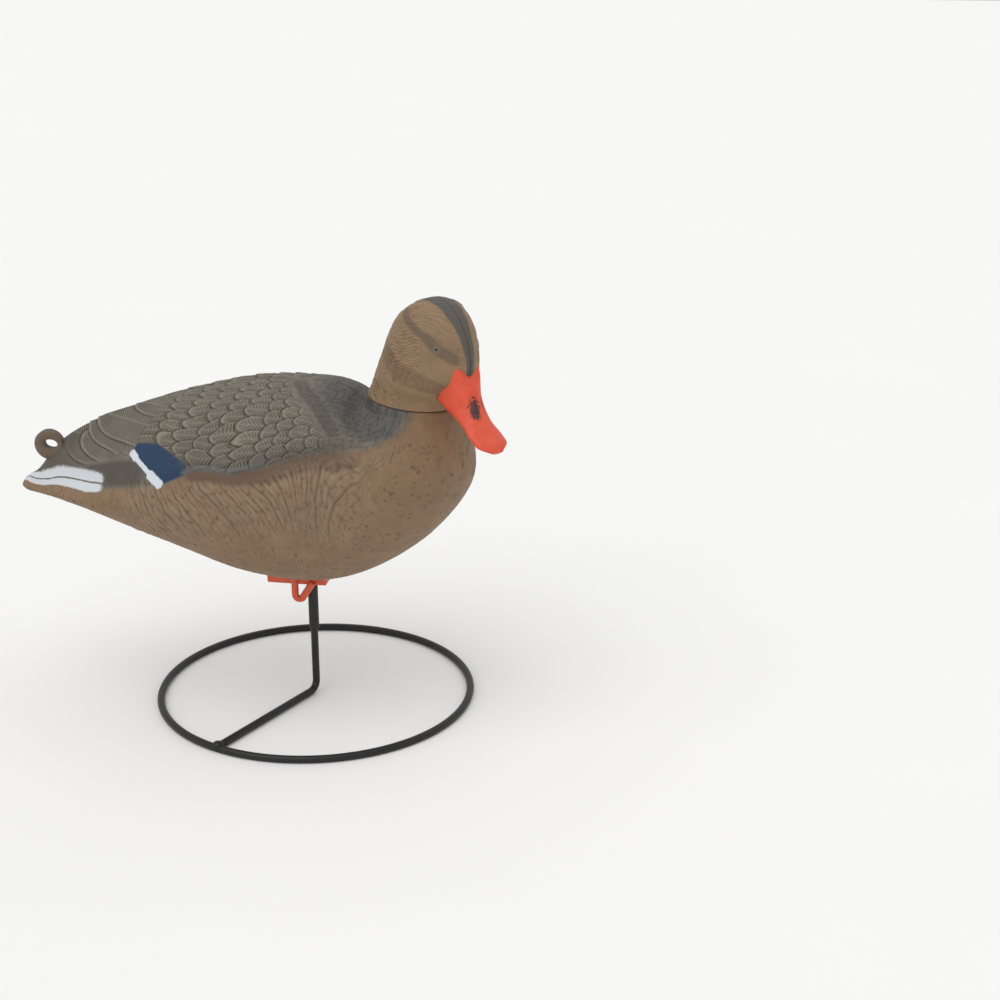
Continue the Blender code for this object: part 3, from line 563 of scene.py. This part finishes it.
body_paint = Finish("airbrushed_feathers")
mottle = body_paint.noise(55.0, 4.0, 0.6)
fine = body_paint.noise(420.0, 3.0, 0.6)
clouded = body_paint.ramp(mottle, 0.3, 0.7)
brown = body_paint.blend(clouded, paint(122, 95, 68), paint(137, 109, 80))
grey = body_paint.blend(clouded, paint(99, 92, 82), paint(118, 111, 97))
barb = body_paint.math("SINE", body_paint.math("MULTIPLY", body_paint.field("barb"),
                                               2 * math.pi / BARB_PITCH))
ribs = body_paint.math("MULTIPLY", barb, body_paint.field("vane"))
wing = body_paint.ramp(body_paint.math("ADD", body_paint.field("wing"),
                                       body_paint.ramp(mottle, 0.2, 0.8, -0.15, 0.15)), 0.2, 0.8)
colour = body_paint.blend(wing, brown, grey)
# sprayed on: the russet band and the neck's grey, lighter paint on the ridges as dry-brush and
# painted highlight, a dark band as dark airbrush and painted shade, and darker paint in the
# grooves as painted shade with a dark wash
for name, strength, over in (("russet", 0.8, (98, 72, 55)), ("neck_grey", 1.0, (74, 74, 74)),
                             ("drybrush_and_highlight", 0.45, (158, 150, 128)), ("dark_airbrush_and_shade", 0.62, (70, 62, 56)),
                             ("shade_and_wash", 0.72, (50, 44, 36))):
    colour = body_paint.spray(colour, name, strength, paint(*over))
# each barb's crest gets lighter paint and the hollow between barbs darker paint: painted highlight
# and painted shade over the barb ribs
colour = body_paint.blend(body_paint.ramp(ribs, 0.1, 1.0, 0.0, 0.30), colour,
                          paint(160, 152, 134))
colour = body_paint.blend(body_paint.ramp(ribs, -0.1, -1.0, 0.0, 0.60), colour,
                          paint(46, 41, 34))
for name, strength, over in (("patch_edge", 0.7, (46, 50, 56)), ("blue", 1.0, (14, 50, 82)),
                             ("pale_line", 0.22, (128, 140, 150)), ("rump", 0.7, (58, 52, 46))):
    colour = body_paint.spray(colour, name, strength, paint(*over))
# the two whites go on last, with specks of what is under them at their edges
whitened = body_paint.math("ADD", body_paint.field("tail_white"),
                           body_paint.ramp(fine, 0.2, 0.8, -0.2, 0.2))
colour = body_paint.blend(body_paint.ramp(whitened, 0.35, 0.75), colour, paint(205, 210, 214))
whitened = body_paint.math("ADD", body_paint.field("white"),
                           body_paint.ramp(fine, 0.2, 0.8, -0.3, 0.3))
colour = body_paint.blend(body_paint.ramp(whitened, 0.3, 0.8), colour, paint(212, 218, 224))
body_paint.set("Base Color", colour)
body_paint.set("Roughness", body_paint.ramp(fine, 0.3, 0.7, 0.52, 0.72))
body_paint.set("Normal", body_paint.bump(body_paint.math(
    "ADD", body_paint.math("MULTIPLY", ribs, 0.9), fine), 0.00022, 0.8))

# the hanging eye over the rump, half of it on each half: a round rim about an oval hole
# that sits a little ahead of the rim's middle
LUG_AT = (-215.5, 96.5 + BELLY_Z)
LUG_R = 12.3
HOLE_AT = (1.6, 0.9)
HOLE_HALF = (6.0, 3.9)
LUG_STEPS = 72
lug_share = np.array([0.0, 0.05, 0.86, 1.0, 1.0, 0.0])
lug_y = np.array([2.9, 3.4, 3.5, 2.5, SEAM, SEAM])
lug_turn = np.linspace(0, 2 * math.pi, LUG_STEPS, endpoint=False)[:, None]
hole_x = HOLE_AT[0] + HOLE_HALF[0] * np.cos(lug_turn)
hole_z = HOLE_AT[1] + HOLE_HALF[1] * np.sin(lug_turn)
rim_x, rim_z = LUG_R * np.cos(lug_turn), LUG_R * np.sin(lug_turn)
lug = np.stack(np.broadcast_arrays(LUG_AT[0] + hole_x + lug_share * (rim_x - hole_x), lug_y,
                                   LUG_AT[1] + hole_z + lug_share * (rim_z - hole_z)), -1)
lug_points = LUG_STEPS * len(lug_y)
lug_order = len(fields["rump"]) + np.arange(lug_points).reshape(LUG_STEPS, len(lug_y))
lug_order = np.concatenate([lug_order, lug_order[:1]])
lug_order = np.concatenate([lug_order, lug_order[:, :1]], axis=1)
shell_faces += np.stack([lug_order[:-1, :-1], lug_order[1:, :-1], lug_order[1:, 1:],
                         lug_order[:-1, 1:]], -1).reshape(-1, 4).tolist()
lug_paint = {"rump": 0.45, "wing": 0.5}
fields = {name: np.concatenate([values, np.full(lug_points, lug_paint.get(name, 0.0))])
          for name, values in fields.items()}

for side, sign in (("left", 1), ("right", -1)):
    points = np.concatenate([part.reshape(-1, 3) for part in (moved, inner, lug)])
    points = points * MM * [1, sign, 1] + [AXIS_X, 0, 0]
    show(skin(f"body_{side}_half", points, shell_faces, fields), body_paint, "decoy",
         "body_paint", f"body_shell_{side}")


# ---------------------------------------------------------------------------------------
# Duck's head: two moulded halves like the body's, combed with fine down, standing on the
# neck ring and turned over the right shoulder.
# ---------------------------------------------------------------------------------------
HEAD_ROWS, HEAD_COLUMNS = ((190, 220))
INNER_ROWS, INNER_COLUMNS = 30, 33
HEAD_TOP = 84.5
NECK_GAP = 0.8
NARROWING = 0.10
# height above the neck, reach to the front and to the back, half breadth
HEAD_PLAN = np.array([
    (0, 36.5, 36.5, 36.5), (8, 40, 33.5, 35), (18, 50, 31.5, 34.5), (30, 60.5, 30, 31),
    (43, 62.5, 27, 28.5), (56, 58.5, 21, 27.5), (67, 51.5, 13, 26), (76, 42.5, 2.5, 20.5),
    (82, 32, -8, 13.5), (84.5, 24, -15, 4)])
head_place = (Matrix.Translation((NECK_AT[0], 0, BELLY_Z + NECK_AT[1]))
              @ Matrix.Rotation(NECK_TILT, 4, "Y") @ Matrix.Rotation(math.radians(-40), 4, "Z"))


def head_section(at, turn, inset=0.0):
    """left side of the head: at runs from crown to neck, and turn from 0 at the face to 180
    degrees at the nape; each level is an oval, narrowed a little towards the face"""
    level = HEAD_TOP * (1 - at)
    plan = through(HEAD_PLAN[:, 0], HEAD_PLAN[:, 1:], level)
    front, rear, half = plan[..., 0], plan[..., 1], plan[..., 2]
    x = (front - rear) / 2 + ((front + rear) / 2 - inset) * np.cos(turn)
    face = 1 - NARROWING * np.cos(turn) * np.clip(2 * (1 - at), 0, 1)
    y = np.maximum(half - inset, 0) * np.sin(turn) * face
    z = NECK_GAP + level * (1 - inset / HEAD_TOP)
    return np.stack([x, y + SEAM, z], -1)


def head_world(points, sign=1):
    """head-frame points in mm, mirrored by sign, in the object's frame in metres"""
    turned = np.array(head_place.to_3x3()), np.array(head_place.translation)
    return ((points * [1, sign, 1]) @ turned[0].T + turned[1]) * MM + [AXIS_X, 0, 0]


trial = head_section(np.linspace(0, 1, 1001), np.full(1001, math.radians(100)))
walked = np.concatenate([[0], np.cumsum(np.linalg.norm(np.diff(trial, axis=0), axis=1))])
at = np.interp(np.linspace(0, walked[-1], HEAD_ROWS), walked, np.linspace(0, 1, 1001))
at, turn = np.meshgrid(at, np.linspace(0, math.pi, HEAD_COLUMNS), indexing="ij")
face = head_section(at, turn)
hx, hy, hz = face[..., 0], face[..., 1], face[..., 2]
head_out = np.cross(np.gradient(face, axis=0), np.gradient(face, axis=1))
head_out /= np.linalg.norm(head_out, axis=-1, keepdims=True) + 1e-9
head_out *= np.sign(np.sum(head_out * (face - [12, 0, 40]), -1, keepdims=True))

throat = np.hypot(hx - 26, hz - 10)
bend = throat + 5 * cloud(hx, hz, 16, 71) + 0.05 * hy
lower = ease(hz, 26, 8)
comb_across = bend * (1 - lower) + (hx * 0.9 + 0.5 * hz + 20 * turn) * lower
comb_along = np.arctan2(hz - 10, hx - 26) * 30
combed = strokes(comb_along, comb_across, 12.0, 2.0, 81)
soft = 0.35 + 0.65 * ease(turn, 0.7, 1.6)
head_relief = 0.60 * (combed - 0.45) * soft
# the line under the cheek: pressed into the skin, and darkened in the paint as painted shadow
# under the cheek
jaw = near_line(hx, hz, [(-12, 40), (-1, 35), (15, 29), (34.6, 26), (46, 23), (49, 20)], 9.0)
jaw = jaw * ease(turn, 2.6, 2.0) * ease(turn, 0.25, 0.5)
head_relief -= 0.9 * jaw
eye_low, eye_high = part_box("eye_left")
eye_spot = head_place.inverted() @ (((eye_low + eye_high) / 2 - Vector((AXIS_X, 0, 0))) / MM)
from_eye = np.linalg.norm(face - [eye_spot.x, abs(eye_spot.y), eye_spot.z], axis=-1)
head_relief += 0.55 * np.exp(-((from_eye - 3.6) / 1.1) ** 2) - 0.4 * np.exp(-(from_eye / 2.2) ** 2)
head_relief *= ease(hz, NECK_GAP, 3.0)
head_relief[:, [0, -1]] -= 0.35
head_moved = face + head_out * head_relief[..., None]
head_moved[..., 1] = np.maximum(head_moved[..., 1], SEAM)
head_moved[:, [0, -1], 1] = SEAM
head_moved[-1, :, 2] = NECK_GAP

# the head's inner wall, closed to the outer one along the seam and the neck
inner_at, inner_turn = np.meshgrid(np.linspace(0.03, 1, INNER_ROWS),
                                   np.linspace(0, math.pi, INNER_COLUMNS), indexing="ij")
head_inner = head_section(inner_at, inner_turn, inset=WALL)
head_inner[-1, :, 2] = NECK_GAP
count = HEAD_ROWS * HEAD_COLUMNS
outer_order = np.arange(count).reshape(HEAD_ROWS, HEAD_COLUMNS)
inner_order = count + np.arange(INNER_ROWS * INNER_COLUMNS).reshape(INNER_ROWS, INNER_COLUMNS)
head_faces = sheet_faces(HEAD_ROWS, HEAD_COLUMNS)
head_faces += (np.array(sheet_faces(INNER_ROWS, INNER_COLUMNS)) + count).tolist()
head_faces += [outer_order[0].tolist(), inner_order[0].tolist(),
               outer_order[-1].tolist() + inner_order[-1, ::-1].tolist(),
               (outer_order[::-1, 0].tolist() + outer_order[:, -1].tolist()
                + inner_order[::-1, -1].tolist() + inner_order[:, 0].tolist())]

half_crown = np.interp(hx, [-20, 23, 41, 52, 59, 62], [13, 10.5, 8.5, 6, 4.8, 3.4])
crown = ease(half_crown - hy, -1.6, 1.6) * ease(hz, 26, 34)
stripe = np.maximum(near_line(hx, hz, [(6, 73), (35, 61), (43.7, 55.3)], 4.0),
                    near_line(hx, hz, [(35, 61), (43.7, 55.3), (57.3, 48.3)], 5.2))
head_fields = {
    # lighter paint on the combing's ridges is dry-brush and painted highlight; darker paint in its
    # troughs and along the jaw line is painted shade
    "drybrush_and_highlight": combed * soft, "shade_and_wash": ease(0.3 - combed, 0, 0.3) * soft * 0.55 + 0.5 * jaw,
    "crown": crown, "eye_stripe": stripe * ease(hy, 7, 11),
    "eye_ring": np.exp(-((from_eye - 2.6) / 1.2) ** 2),
}
head_fields = {name: np.concatenate([np.ravel(values), np.zeros(INNER_ROWS * INNER_COLUMNS)])
               for name, values in head_fields.items()}

head_paint = Finish("airbrushed_head")
mottle = head_paint.noise(60.0, 4.0, 0.6)
fine = head_paint.noise(450.0, 3.0, 0.6)
colour = head_paint.blend(head_paint.ramp(mottle, 0.3, 0.7), paint(130, 104, 76),
                          paint(144, 117, 86))
# lighter paint on the combed ridges and darker paint in the troughs and under the cheek: painted
# highlight and painted shade
colour = head_paint.spray(colour, "drybrush_and_highlight", 0.38, paint(170, 145, 110))
colour = head_paint.spray(colour, "shade_and_wash", 0.75, paint(82, 60, 42))
speckled = head_paint.math("ADD", head_paint.field("crown"),
                           head_paint.ramp(fine, 0.2, 0.8, -0.25, 0.25))
colour = head_paint.blend(head_paint.ramp(speckled, 0.2, 0.8), colour, paint(84, 79, 74))
colour = head_paint.spray(colour, "eye_stripe", 0.6, paint(84, 72, 62))
colour = head_paint.spray(colour, "eye_ring", 0.5, paint(120, 112, 102))
head_paint.set("Base Color", colour)
head_paint.set("Roughness", head_paint.ramp(fine, 0.3, 0.7, 0.5, 0.7))
head_paint.set("Normal", head_paint.bump(fine, 0.0002, 0.6))
for side, sign in (("left", 1), ("right", -1)):
    points = np.concatenate([head_moved.reshape(-1, 3), head_inner.reshape(-1, 3)])
    show(skin(f"head_{side}_half", head_world(points, sign), head_faces, head_fields), head_paint,
         "head", "head_paint", f"head_shell_{side}")


# ---------------------------------------------------------------------------------------
# Bill: one hollow orange moulding pressed into the face, with two lobes beside the
# forehead, a rolled lip, nostrils, and a nail at its tip.
# ---------------------------------------------------------------------------------------
BILL_LENGTH = 63.6
BILL_ROOT = (45.0, 17.5)
BILL_PITCH = math.radians(27)
# share of the length, half breadth, depth above the middle line, depth below it
BILL_PLAN = np.array([
    (0, 13.8, 29, 10.5), (0.2, 13, 24, 9), (0.38, 11.9, 15.5, 6.8), (0.57, 12.9, 8.2, 4.8),
    (0.77, 14.2, 5, 3.8), (0.91, 12.5, 3.2, 3), (1, 5, 0.8, 1.8)])


def bill_section(share, turn):
    """the bill from root to tip: ovals that flatten forwards, with lobes at the root's upper
    corners, a notch between them, and a lip that rolls out along both edges"""
    plan = through(BILL_PLAN[:, 0], BILL_PLAN[:, 1:], share)
    half, top, under = plan[..., 0], plan[..., 1], plan[..., 2]
    up = np.sin(turn)
    root = ease(share, 0.30, 0.02)
    slant = np.degrees(np.arccos(np.clip(np.abs(np.cos(turn)), 0, 1)))
    lobe = 1 + 0.26 * root * np.exp(-((slant - 48) / 20) ** 2) * (up > 0)
    notch = 3.4 * root * np.exp(-((slant - 90) / 15) ** 2) * (up > 0)
    lip = ease(share, 0.12, 0.3) * np.exp(-((slant - 6) / 9) ** 2)
    y = half * np.cos(turn) * lobe * (1 + 0.035 * lip)
    off = np.where(up > 0, top, under) * up * lobe - notch + 0.7 * lip * (up > 0)
    along = share * BILL_LENGTH
    x = BILL_ROOT[0] + along * math.cos(BILL_PITCH) + off * math.sin(BILL_PITCH)
    z = BILL_ROOT[1] - along * math.sin(BILL_PITCH) + off * math.cos(BILL_PITCH)
    return np.stack([x, y, z], -1)


BILL_ROWS = 120
BILL_SIDES = 120
share = 1 - (1 - np.linspace(0, 1, BILL_ROWS)) ** 1.35
share, turn = np.meshgrid(share, np.linspace(0, 2 * math.pi, BILL_SIDES, endpoint=False),
                          indexing="ij")
bill_points = bill_section(share, turn)
bill_out = np.cross(np.gradient(bill_points, axis=0), np.gradient(bill_points, axis=1))
bill_out /= np.linalg.norm(bill_out, axis=-1, keepdims=True) + 1e-9
bill_out *= np.where(np.sum(bill_out * (bill_points - bill_points.mean(1, keepdims=True)), -1,
                            keepdims=True) < 0, -1, 1)
beside = bill_points[..., 1]
upper = np.sin(turn) > 0
nostril = np.exp(-(((share - 0.40) / 0.055) ** 2 + ((np.abs(beside) - 5.2) / 1.5) ** 2)) * upper
nail = ease(share, 0.86, 0.90) * ease(np.abs(beside), 6.5, 5.0) * upper
bill_points = bill_points + bill_out * (0.5 * nail - 1.3 * nostril)[..., None]
blotch = np.exp(-(((share - 0.45) / 0.16) ** 2 + ((beside + 3.4) / 6.2) ** 2)) * upper
bill_mesh = skin("bill_moulding", head_world(bill_points), bar_faces(BILL_ROWS, BILL_SIDES),
                 {"blotch": blotch, "hollow": nostril})
orange = Finish("orange_bill_paint")
ragged = orange.noise(520.0, 5.0, 0.75)
cloudy = orange.noise(70.0, 3.0)
colour = orange.blend(orange.ramp(cloudy, 0.35, 0.65), paint(214, 72, 44), paint(226, 88, 58))
splash = orange.ramp(orange.math("ADD", orange.field("blotch"),
                                 orange.ramp(ragged, 0.25, 0.75, -0.50, 0.50)), 0.60, 0.70)
colour = orange.blend(splash, colour, paint(62, 44, 44))
colour = orange.spray(colour, "hollow", 0.6, paint(120, 40, 28))
orange.set("Base Color", colour)
orange.set("Roughness", orange.ramp(cloudy, 0.3, 0.7, 0.40, 0.55))
orange.set("Normal", orange.bump(ragged, 0.00012, 0.6))
show(bill_mesh, orange, "head", "bill_paint", "bill")


# ---------------------------------------------------------------------------------------
# CAD pieces that keep their shape: the hidden neck joint, the plates and screws, the
# orange foot bracket, the black sleeve and the weld.
# ---------------------------------------------------------------------------------------
def coat_nodes(finish, *names):
    """the finish on CAD nodes, in every material slot"""
    for name in names:
        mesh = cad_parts[name].data
        mesh.materials.clear()
        mesh.materials.append(finish.material)


def moulded(name, dark, light, rough, lumps=260.0):
    """plain moulded or turned material: two near tones, fine grain, and gloss that varies"""
    finish = Finish(name)
    cloudy = finish.noise(lumps, 4.0)
    finish.set("Base Color", finish.blend(finish.ramp(cloudy, 0.3, 0.7), dark, light))
    finish.set("Roughness", finish.ramp(cloudy, 0.3, 0.7, rough - 0.08, rough + 0.08))
    finish.set("Normal", finish.bump(finish.noise(lumps * 5, 3.0), 0.00008))
    return finish


coat_nodes(moulded("orange_bracket", paint(206, 80, 46), paint(222, 96, 60), 0.42),
           "foot_bracket")
coat_nodes(moulded("black_tube", paint(12, 12, 12), paint(22, 22, 22), 0.45), "swivel_sleeve",
           "thrust_plug")
coat_nodes(black_paint, "ring_weld")
coat_nodes(moulded("grey_moulding", paint(112, 110, 106), paint(128, 126, 122), 0.5),
           "neck_collar", "neck_bushing", "neck_plug", "backing_plate")
screw = moulded("zinc_screw", paint(170, 170, 172), paint(196, 196, 198), 0.32)
screw.set("Metallic", 1.0)
coat_nodes(screw, "bracket_screw_rear", "bracket_screw_front")
pupil = moulded("black_eye", paint(10, 9, 8), paint(20, 18, 16), 0.16)
pupil.set("Coat Weight", 0.6)
coat_nodes(pupil, "eye_left", "eye_right")

# ---------------------------------------------------------------------------------------
# Floor and lights: a wide pale floor under a white sky and two wide, soft suns.
# ---------------------------------------------------------------------------------------
FLOOR_HALF = 6.0
floor_mesh = bpy.data.meshes.new("floor")
floor_mesh.from_pydata([(side * FLOOR_HALF, end * FLOOR_HALF, 0)
                        for side, end in ((-1, -1), (1, -1), (1, 1), (-1, 1))],
                       [], [(0, 1, 2, 3)])
pale = Finish("pale_floor", Roughness=0.8)
pale.set("Base Color", pale.blend(pale.noise(3.0), paint(244, 244, 243), paint(248, 248, 247)))
floor_mesh.materials.append(pale.material)
floor = bpy.data.objects.new("floor", floor_mesh)
bpy.context.scene.collection.objects.link(floor)

world = bpy.data.worlds.new("studio")
world.use_nodes = True
world.node_tree.nodes["Background"].inputs["Color"].default_value = (1.0, 1.0, 1.0, 1.0)
world.node_tree.nodes["Background"].inputs["Strength"].default_value = 0.66
bpy.context.scene.world = world
bpy.context.scene.view_settings.view_transform = "Standard"
for name, spot, power, spread in (("key", (-0.7, -1.1, 1.9), 0.85, 60),
                                  ("top", (0.3, 0.5, 2.0), 0.45, 90)):
    lamp = bpy.data.lights.new(name, "SUN")
    lamp.energy = power
    lamp.angle = math.radians(spread)
    holder = bpy.data.objects.new(name, lamp)
    holder.location = spot
    holder.rotation_euler = (-Vector(spot)).to_track_quat("-Z", "Y").to_euler()
    bpy.context.scene.collection.objects.link(holder)
